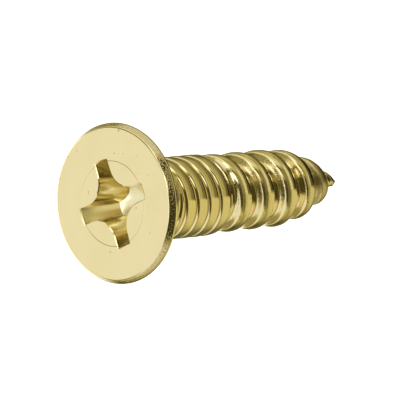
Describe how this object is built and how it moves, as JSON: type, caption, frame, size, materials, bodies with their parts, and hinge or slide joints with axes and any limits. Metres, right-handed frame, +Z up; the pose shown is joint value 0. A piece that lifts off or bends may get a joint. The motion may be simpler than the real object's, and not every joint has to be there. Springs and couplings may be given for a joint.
{
  "type": "countersunk wood screw",
  "caption": "Flat countersunk wood screw with a cross recess, a close thread under the head, a coarse wood thread and a gimlet point.",
  "frame": {"origin": "middle of the flat face of the head", "axes": "+Y along the screw's axis towards its point, +Z up, the flat face looks along -Y"},
  "size_m": [0.0092, 0.0191, 0.0092],
  "materials": {
    "brass_plate": "bright plated, lightly marked by tumbling"
  },
  "bodies": {
    "root": {"screw": "brass_plate"}
  },
  "joints": []
}
